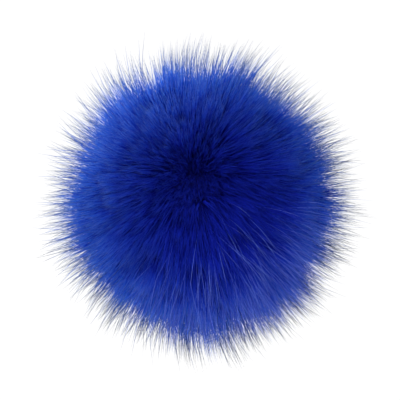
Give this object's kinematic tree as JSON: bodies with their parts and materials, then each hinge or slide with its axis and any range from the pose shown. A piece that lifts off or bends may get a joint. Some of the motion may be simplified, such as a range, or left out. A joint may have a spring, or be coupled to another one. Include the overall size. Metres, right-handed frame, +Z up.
{
  "type": "pom pom",
  "caption": "Round long-pile fur pom pom, dyed royal blue, whose locks fan out from a whorl at the top; it rests on the small flat spot of its closed underside.",
  "frame": {"origin": "on the floor, under the middle of the ball's outline, in the flat spot it rests on", "axes": "+Z up through the whorl at the top; +Y is the upper edge of the ball as seen from above; the ball is round, so +X and +Y carry no other meaning"},
  "size_m": [0.1454, 0.1518, 0.1207],
  "materials": {
    "dyed_fur": "soft long-pile fur, dyed royal blue, with darker guard hair tips"
  },
  "bodies": {
    "root": {"fur_ball": "dyed_fur"}
  },
  "joints": []
}
